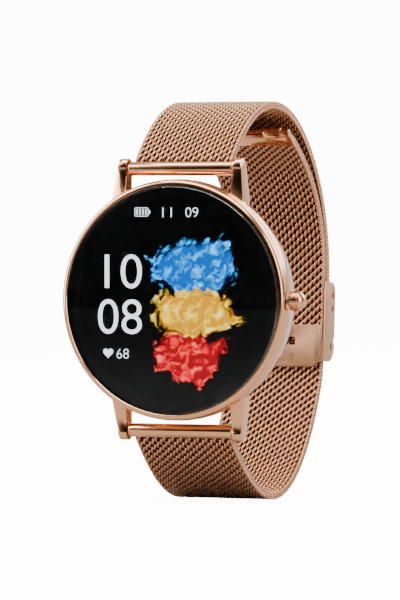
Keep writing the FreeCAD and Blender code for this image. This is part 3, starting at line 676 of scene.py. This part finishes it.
# ---------------------------------------------------------------- inside of the case
# A moulded ring holds the circuit board, the battery pouch and the motor behind the
# screen. They show only when the case is opened, but each keeps its own finish.
DARK_PLASTIC = plastic("dark_plastic", (0.02, 0.02, 0.022, 1.0), 0.5, 4.0, 0.3)
CHIP = plastic("chip_resin", (0.012, 0.012, 0.013, 1.0), 0.45, 8.0, 0.2)
BOARD = plastic("board_lacquer", (0.01, 0.09, 0.035, 1.0), 0.3, 1.2, 0.15)
POUCH = plastic("battery_foil", (0.42, 0.42, 0.43, 1.0), 0.4, 1.0, 0.5)
RUBBER = plastic("gasket_rubber", (0.015, 0.015, 0.015, 1.0), 0.75, 6.0, 0.4)
BACK = plastic("back_composite", (0.018, 0.018, 0.02, 1.0), 0.3, 5.0, 0.12)
SENSOR = plastic("sensor_cover", (0.008, 0.008, 0.01, 1.0), 0.06, 0.6, 0.02)
GOLD = metal("contact_gold", (0.95, 0.66, 0.28, 1.0), (1, 1, 1), 3.0, 0.15, 0.3, 0.1, 0.1)
MOTOR = metal("motor_can", (0.6, 0.6, 0.6, 1.0), (1, 1, 1), 2.0, 0.25, 0.4, 0.15, 0.1)
INNER_FINISHES = {
    "inner_frame": DARK_PLASTIC, "side_switch": DARK_PLASTIC,
    "board_chips": CHIP, "sensor_chips": CHIP,
    "main_board": BOARD, "sensor_board": BOARD,
    "battery": POUCH, "vibration_motor": MOTOR,
    "back_gasket": RUBBER, "crown_seals": RUBBER,
    "case_back": BACK, "sensor_window": SENSOR, "charging_pads": GOLD,
}
for node, finish in INNER_FINISHES.items():
    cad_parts[node].data.materials.clear()
    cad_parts[node].data.materials.append(finish)

# ---------------------------------------------------------------- barrels
# Each end of the strap is rolled round a polished tube that turns on a spring bar
# between the lugs.
BAR_HEIGHT = 23.0
BAR_DEPTH = -3.8


def rolled_tube(name, radius, bore, x0, x1, y, z):
    """A tube along X with rounded lips at both ends."""
    tube = add_rod(radius, x0, x1, y, z)
    pick_faces(tube, lambda face: abs(face.normal.x) > 0.9)
    bpy.ops.mesh.bevel(offset=0.14 * MM, segments=4)
    bpy.ops.object.mode_set(mode="OBJECT")
    cut_with(tube, add_rod(bore, x0 - 1, x1 + 1, y, z, vertices=32))
    take_up(tube)
    bpy.ops.object.shade_smooth_by_angle(angle=math.radians(35))
    return fix_place(tube, name)


for end, height in (("upper", BAR_HEIGHT), ("lower", -BAR_HEIGHT)):
    tube = rolled_tube(end + "_end_tube", 1.25, 0.8, -9.8, 9.8, BAR_DEPTH, height)
    hand_over(tube, end + "_1", "polished_fittings", POLISHED, end + "_barrel")

# ---------------------------------------------------------------- woven strap
# The strap is wire coils laid side by side and threaded through each other, half a
# turn out from row to row, then pressed flat. A dark rod through each coil is painted
# shade: it fills the gaps with the shade seen between the wires. A turned-over loop ends
# each coil at each edge.
STRAP_HALF_WIDTH = 9.2
STRAP_HALF_DEPTH = 0.75
WIRE_RADIUS = 0.27
COIL_REACH = 0.75
TURN_PITCH = 1.6
ROW_PITCH = 0.73
COIL_STEPS = 10
WIRE_SIDES = 6
EDGE_WIRE = 0.25
EDGE_LOOP_SQUASH = 0.62
SHADE_ROD_RADIUS = 0.38
JOINT_REACH = 0.46

WOVEN = metal("woven_rose_gold", (0.58, 0.29, 0.15, 1.0), (1, 1, 1), 1.6,
              0.2, 0.36, 0.15, 0.2)
# The rod's near-black brown is painted shade, standing in for the dark gaps between the coils.
SHADE_ROD_METAL = metal("painted_shade_rod", (0.10, 0.04, 0.02, 1.0), (1, 1, 1), 1.6, 0.5, 0.7, 0.2, 0.3)


def coil_row():
    """One flattened coil right across the strap, with its end loops and a dark rod of painted
    shade.
    """
    clear_selection()
    bpy.ops.mesh.primitive_circle_add(vertices=WIRE_SIDES, radius=WIRE_RADIUS * MM,
                                      location=(COIL_REACH * MM, 0, 0),
                                      rotation=(math.pi / 2, 0, 0))
    coil = bpy.context.object
    bpy.ops.object.transform_apply(location=True, rotation=True, scale=True)
    length = 2 * (STRAP_HALF_WIDTH - EDGE_WIRE)
    turns = length / TURN_PITCH
    winding = coil.modifiers.new("winding", "SCREW")
    winding.angle = -2 * math.pi * turns
    winding.screw_offset = length * MM
    winding.steps = round(COIL_STEPS * turns)
    winding.render_steps = winding.steps
    winding.iterations = 1
    apply_all(coil)
    bpy.ops.object.mode_set(mode="EDIT")
    bpy.ops.mesh.select_all(action="SELECT")
    bpy.ops.transform.translate(value=(0, 0, -length * MM / 2))
    bpy.ops.mesh.select_mode(type="VERT")
    bpy.ops.mesh.select_all(action="DESELECT")
    bpy.ops.mesh.select_non_manifold()
    bpy.ops.mesh.edge_face_add()
    bpy.ops.object.mode_set(mode="OBJECT")
    loops = []
    for side in (-1, 1):
        clear_selection()
        bpy.ops.mesh.primitive_torus_add(
            major_segments=12, minor_segments=WIRE_SIDES,
            major_radius=(COIL_REACH - 0.02) * MM, minor_radius=EDGE_WIRE * MM,
            location=(0, 0, side * (STRAP_HALF_WIDTH - EDGE_WIRE) * MM))
        bpy.context.object.scale = (EDGE_LOOP_SQUASH, 1, 1)
        bpy.ops.object.transform_apply(location=True, rotation=True, scale=True)
        loops.append(bpy.context.object)
    take_up(coil, *loops)
    bpy.ops.object.join()
    bpy.ops.object.mode_set(mode="EDIT")
    bpy.ops.mesh.select_all(action="SELECT")
    depth = STRAP_HALF_DEPTH / (COIL_REACH + WIRE_RADIUS)
    bpy.ops.transform.resize(value=(1, depth, 1), center_override=(0, 0, 0))
    bpy.ops.mesh.normals_make_consistent(inside=False)
    bpy.ops.object.mode_set(mode="OBJECT")
    clear_selection()
    # The dark rod down the middle of the coil is painted shade that fills the gaps between the
    # wires.
    bpy.ops.mesh.primitive_cylinder_add(vertices=WIRE_SIDES, radius=SHADE_ROD_RADIUS * MM,
                                        depth=(length - 0.4) * MM,
                                        location=(0, 0, 0),
                                        rotation=(0, 0, math.pi / WIRE_SIDES))
    shade_rod = bpy.context.object
    bpy.ops.object.transform_apply(location=True, rotation=True, scale=True)
    coil.data.materials.append(WOVEN)
    shade_rod.data.materials.append(SHADE_ROD_METAL)
    take_up(coil, shade_rod)
    bpy.ops.object.join()
    bpy.ops.object.shade_smooth()
    return coil


COIL_ROW = coil_row()


def strap_line(name, points):
    """A smooth line in the YZ plane, drawn flat, through (place, handle before, after)."""
    clear_selection()
    bpy.ops.curve.primitive_bezier_curve_add(location=(0, 0, 0))
    line = bpy.context.object
    line.name = name
    line.data.dimensions = "2D"
    line.data.resolution_u = 64
    line.data.use_deform_bounds = False
    spline = line.data.splines[0]
    spline.bezier_points.add(len(points) - len(spline.bezier_points))
    for knot, (place, before, after) in zip(spline.bezier_points, points):
        knot.handle_left_type = "FREE"
        knot.handle_right_type = "FREE"
        knot.co = (place[0] * MM, place[1] * MM, 0)
        knot.handle_left = (before[0] * MM, before[1] * MM, 0)
        knot.handle_right = (after[0] * MM, after[1] * MM, 0)
    return line


def moved(point, degrees, distance):
    angle = math.radians(degrees)
    return (point[0] + math.cos(angle) * distance, point[1] + math.sin(angle) * distance)


# The clasp stands at the back of the wrist, leaning a little; places on it are given
# by how far they are from the wrist and how far down the strap.
CLASP_PLACE = (41.2, -5.2)
CLASP_TILT = 4.0
LAYER_RISE = 1.9
CLASP_MESH_HALF = 8.5


def at_clasp(rise, drop):
    lean = math.radians(CLASP_TILT)
    return (CLASP_PLACE[0] + math.cos(lean) * rise - math.sin(lean) * drop,
            CLASP_PLACE[1] - math.sin(lean) * rise - math.cos(lean) * drop)


upper_start = (-3.8, 23.0)
upper_end = at_clasp(LAYER_RISE, -CLASP_MESH_HALF)
lower_start = (-3.8, -23.0)
clasp_low = at_clasp(0, CLASP_MESH_HALF)
clasp_top = at_clasp(0, -CLASP_MESH_HALF)
tail_end = (26.9, 28.0)
UP_CLASP = 90 - CLASP_TILT
third = 2 * CLASP_MESH_HALF / 3

UPPER_LINE = strap_line("upper_line", [
    (upper_start, upper_start, moved(upper_start, 50, 34.5)),
    (upper_end, moved(upper_end, UP_CLASP, 22), upper_end),
])
LOWER_LINE = strap_line("lower_line", [
    (lower_start, lower_start, moved(lower_start, -48.5, 42)),
    (clasp_low, moved(clasp_low, UP_CLASP, -3), moved(clasp_low, UP_CLASP, third)),
    (clasp_top, moved(clasp_top, UP_CLASP, -third), moved(clasp_top, UP_CLASP, 11)),
    (tail_end, moved(tail_end, 150, -11), tail_end),
])


def distance_along(line, point):
    """How far along a line its nearest drawn point to this one is, in millimetres."""
    take_up(line)
    drawn = line.to_mesh()
    corners = [v.co.copy() for v in drawn.vertices]
    line.to_mesh_clear()
    here = Vector((point[0] * MM, point[1] * MM, 0))
    nearest = min(range(len(corners)), key=lambda i: (corners[i] - here).length)
    steps = [(corners[i + 1] - corners[i]).length for i in range(nearest)]
    return sum(steps) / MM


def point_along(line, distance):
    """The place in the watch, in metres, this far along a line."""
    drawn = line.to_mesh()
    corners = [v.co.copy() for v in drawn.vertices]
    line.to_mesh_clear()
    left = distance * MM
    for before, after in zip(corners, corners[1:]):
        step = (after - before).length
        if left <= step:
            found = before.lerp(after, left / step)
            return Vector((0, found.x, found.y))
        left -= step
    return Vector((0, corners[-1].x, corners[-1].y))


def woven_length(name, line, rows, pitch, joint_at, reach, replaced):
    """Rows of coils from rows[0] up to rows[1], laid and bent along a line."""
    count = rows[1] - rows[0]
    take_up(COIL_ROW)
    bpy.ops.object.duplicate()
    first = bpy.context.object
    take_up(COIL_ROW)
    bpy.ops.object.duplicate()
    second = bpy.context.object
    second.rotation_euler = (0, 0, math.pi)
    second.location = (pitch * MM, 0, 0)
    bpy.ops.object.transform_apply(location=True, rotation=True, scale=True)
    take_up(first, second)
    bpy.ops.object.join()
    piece = bpy.context.object
    laying = piece.modifiers.new("laying", "ARRAY")
    laying.use_relative_offset = False
    laying.use_constant_offset = True
    laying.constant_offset_displace = (2 * pitch * MM, 0, 0)
    laying.count = count // 2
    apply_all(piece)
    piece.location = ((rows[0] + 0.5) * pitch * MM, 0, 0)
    bpy.ops.object.transform_apply(location=True, rotation=True, scale=True)
    bending = piece.modifiers.new("bending", "CURVE")
    bending.object = line
    bending.deform_axis = "POS_X"
    apply_all(piece)
    piece.matrix_world = Matrix(((0, 0, 1, 0), (1, 0, 0, 0), (0, 1, 0, 0), (0, 0, 0, 1)))
    fix_place(piece, name)
    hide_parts(*replaced)
    point_along(line, joint_at - reach)
    point_along(line, joint_at + reach)
    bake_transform(piece)
    return piece


# Upper part: six lengths in the chain, so five joints inside it.
upper_length = distance_along(UPPER_LINE, upper_end)
upper_rows = 2 * round(upper_length / ROW_PITCH / 2)
upper_pitch = upper_length / upper_rows
upper_step = upper_length / 6
row_cuts = [2] + [2 * round((i + 0.5) * upper_step / upper_pitch / 2) for i in range(1, 5)]
row_cuts.append(upper_rows)
for i in range(5):
    stands_for = ["upper_mesh_" + str(i + 1)] + (["upper_mesh_6"] if i == 4 else [])
    woven_length("upper_weave_" + str(i + 1), UPPER_LINE, (row_cuts[i], row_cuts[i + 1]),
                 upper_pitch, (i + 1) * upper_step, upper_step * JOINT_REACH,
                 stands_for)

# Lower part: it runs up from the lower bar, through the clasp and on to the tail.
lower_length = distance_along(LOWER_LINE, tail_end)
lower_rows = 2 * round(lower_length / ROW_PITCH / 2)
lower_pitch = lower_length / lower_rows
clasp_at = distance_along(LOWER_LINE, clasp_low)
tail_at = distance_along(LOWER_LINE, clasp_top)
lower_step = clasp_at / 6
tail_step = (lower_length - tail_at) / 3
lower_joints = [(i + 1) * lower_step for i in range(6)]
lower_joints += [tail_at + i * tail_step for i in range(3)]
LOWER_NODES = [["lower_mesh_" + str(i + 1)] for i in range(6)]
LOWER_NODES += [["clasp_mesh", "tail_mesh_1"], ["tail_mesh_2"], ["tail_mesh_3"]]
cut_places = [(a + b) / 2 for a, b in zip(lower_joints, lower_joints[1:])]
row_cuts = [2] + [2 * round(place / lower_pitch / 2) for place in cut_places] + [lower_rows]
for i, joint_at in enumerate(lower_joints):
    reach = (lower_step if i < 6 else tail_step) * JOINT_REACH
    woven_length("lower_weave_" + str(i + 1), LOWER_LINE, (row_cuts[i], row_cuts[i + 1]),
                 lower_pitch, joint_at, reach, LOWER_NODES[i])

for tool in (COIL_ROW, UPPER_LINE, LOWER_LINE):
    bpy.data.objects.remove(tool)

# ---------------------------------------------------------------- clasp
# The clasp is bent from plated sheet and brushed along the strap: a base plate with
# two side walls, a hinged cover that hooks over a bar, and a lock bar under the strap.
BRUSHED = metal("brushed_rose_gold", (0.62, 0.315, 0.175, 1.0), (6.0, 0.6, 0.25), 2.2,
                0.24, 0.44, 0.7, 0.3)
clasp = trued("clasp_channel", "clasp_frame", edge=0.1)
hand_over(clasp, "clasp", "brushed_clasp", BRUSHED, "clasp_channel")
cover = trued("clasp_cover", "clasp_lid", edge=0.1)
hand_over(cover, "cover", "brushed_clasp", BRUSHED, "clasp_cover")
end_frame = trued("upper_end_frame", "strap_end_frame", edge=0.1)
hand_over(end_frame, "upper_end", "brushed_clasp", BRUSHED, "upper_end_frame")
for node, body in (("hook_bar", "clasp"), ("cover_pin", "upper_end"), ("lock_bar", "lock")):
    fitting = trued(node, node + "_part", edge=0.05)
    hand_over(fitting, body, "polished_fittings", POLISHED, node)

# ---------------------------------------------------------------- tail end
# The free end of the strap is closed by a smooth folded plate rolled over at its tip,
# with a short bright sleeve on the roll that stops it slipping back out of the clasp.
plate = trued("tail_end_plate", "tail_plate", edge=0.08)
hand_over(plate, "tail_3", "polished_fittings", POLISHED, "tail_end_plate")
stop = trued("tail_stop", "tail_sleeve", edge=0.08)
hand_over(stop, "tail_3", "polished_fittings", POLISHED, "tail_stop")

# ---------------------------------------------------------------- studio
# A pale seamless sheet, four soft boxes and a long lens level with the watch. The sheet
# is dark in front and lit at the back where it is mirrored, so the glass stays black.
SHEET_SIZE = 3.0
SHEET_RISE = 2.5
floor_height = cad_box[0][2]
clear_selection()
bpy.ops.mesh.primitive_plane_add(size=SHEET_SIZE, location=(0, 0, floor_height))
sweep = bpy.context.object
bpy.ops.object.transform_apply(location=True, rotation=True, scale=True)
take_up(sweep)
for edge in sweep.data.edges:
    edge.select = all(sweep.data.vertices[i].co.y > 1.4 for i in edge.vertices)
for corner in sweep.data.vertices:
    corner.select = corner.co.y > 1.4
for side in sweep.data.polygons:
    side.select = False
bpy.ops.object.mode_set(mode="EDIT")
bpy.ops.mesh.extrude_region_move(TRANSFORM_OT_translate={"value": (0, 0, SHEET_RISE)})
bpy.ops.object.mode_set(mode="OBJECT")
curve_up = sweep.modifiers.new("curve_up", "BEVEL")
curve_up.width = 0.6
curve_up.segments = 16
curve_up.limit_method = "ANGLE"
apply_all(sweep)
bpy.ops.object.shade_smooth()
sweep.name = "studio_sweep"
PALE = plastic("pale_paper", (0.9, 0.9, 0.9, 1.0), 0.9, 0.02, 0.0)
sheet = PALE.node_tree
pale_shader = sheet.nodes["Principled BSDF"]
seen = add_node(sheet, "ShaderNodeLightPath")
sheet_place = add_node(sheet, "ShaderNodeTexCoord")
sheet_parts = add_node(sheet, "ShaderNodeSeparateXYZ")
sheet.links.new(sheet_place.outputs["Object"], sheet_parts.inputs["Vector"])
falling_off = add_node(sheet, "ShaderNodeMapRange")
falling_off.inputs["From Min"].default_value = -0.1
falling_off.inputs["From Max"].default_value = -0.3
sheet.links.new(sheet_parts.outputs["Y"], falling_off.inputs["Value"])
bounced = laid_over(sheet, falling_off.outputs["Result"], (0.4, 0.37, 0.36, 1.0),
                    (0.02, 0.02, 0.02, 1.0))
shaded = laid_over(sheet, seen.outputs["Is Camera Ray"], bounced, (0.9, 0.9, 0.9, 1.0))
sheet.links.new(shaded, pale_shader.inputs["Base Color"])
back_wall = add_node(sheet, "ShaderNodeMapRange")
back_wall.inputs["From Min"].default_value = 0.3
back_wall.inputs["From Max"].default_value = 1.0
back_wall.inputs["To Max"].default_value = 0.07
sheet.links.new(sheet_parts.outputs["Y"], back_wall.inputs["Value"])
lit_sheet = math_node(sheet, "MAXIMUM", seen.outputs["Is Camera Ray"],
                      back_wall.outputs["Result"])
sheet.links.new(lit_sheet, pale_shader.inputs["Emission Color"])
pale_shader.inputs["Emission Strength"].default_value = 12.0
sweep.data.materials.append(PALE)


WATCH_MIDDLE = Vector((0.0, 0.012, 0.0))


def soft_box(name, place, size_x, size_y, power):
    """A rectangular lamp turned to the middle of the watch."""
    clear_selection()
    bpy.ops.object.light_add(type="AREA", location=place)
    lamp = bpy.context.object
    lamp.name = name
    lamp.data.shape = "RECTANGLE"
    lamp.data.size = size_x
    lamp.data.size_y = size_y
    lamp.data.energy = power
    aim = WATCH_MIDDLE - Vector(place)
    lamp.rotation_euler = aim.to_track_quat("-Z", "Y").to_euler()


soft_box("left_box", (-0.60, -0.40, 0.25), 0.35, 0.9, 10.0)
soft_box("right_box", (0.70, -0.20, 0.15), 0.35, 0.9, 6.5)
soft_box("top_box", (0.0, -0.15, 0.75), 0.8, 0.5, 13.0)
soft_box("back_box", (0.3, 0.7, 0.4), 0.8, 0.5, 6.0)

# The room is brighter above than below, with a dark flag in front of the glass.
world = bpy.data.worlds.new("studio_room")
bpy.context.scene.world = world
world.use_nodes = True
room = world.node_tree
direction = add_node(room, "ShaderNodeTexCoord")
parts = add_node(room, "ShaderNodeSeparateXYZ")
room.links.new(direction.outputs["Generated"], parts.inputs["Vector"])
flag = add_node(room, "ShaderNodeMapRange", interpolation_type="SMOOTHSTEP")
flag.inputs["From Min"].default_value = -0.92
flag.inputs["From Max"].default_value = -0.7
flag.inputs["To Min"].default_value = 0.04
room.links.new(parts.outputs["Y"], flag.inputs["Value"])
height = add_node(room, "ShaderNodeMapRange")
height.inputs["From Min"].default_value = -0.5
height.inputs["From Max"].default_value = 0.7
height.inputs["To Min"].default_value = 0.25
room.links.new(parts.outputs["Z"], height.inputs["Value"])
glowing = math_node(room, "MULTIPLY", flag.outputs["Result"], height.outputs["Result"])
room.links.new(glowing, room.nodes["Background"].inputs["Color"])
room.nodes["Background"].inputs["Strength"].default_value = 0.5

VIEW_TURN = math.radians(22.8)
VIEW_RISE = math.radians(1.12)
VIEW_DISTANCE = 0.8
VIEW_LENS = 275.1
AIM_RIGHT = 5.05
AIM_UP = 0.05
GLASS_FRONT = -8.6
look_back = Vector((math.sin(VIEW_TURN) * math.cos(VIEW_RISE),
                    -math.cos(VIEW_TURN) * math.cos(VIEW_RISE), math.sin(VIEW_RISE)))
right = Vector((math.cos(VIEW_TURN), math.sin(VIEW_TURN), 0))
aim_point = Vector((0, GLASS_FRONT * MM, AIM_UP * MM)) + right * AIM_RIGHT * MM
clear_selection()
bpy.ops.object.camera_add(location=aim_point + look_back * VIEW_DISTANCE)
camera = bpy.context.object
camera.rotation_euler = look_back.to_track_quat("Z", "Y").to_euler()
camera.data.lens = VIEW_LENS
camera.data.sensor_width = 36.0
camera.data.clip_start = 0.01
camera.data.clip_end = 20.0
bpy.context.scene.camera = camera
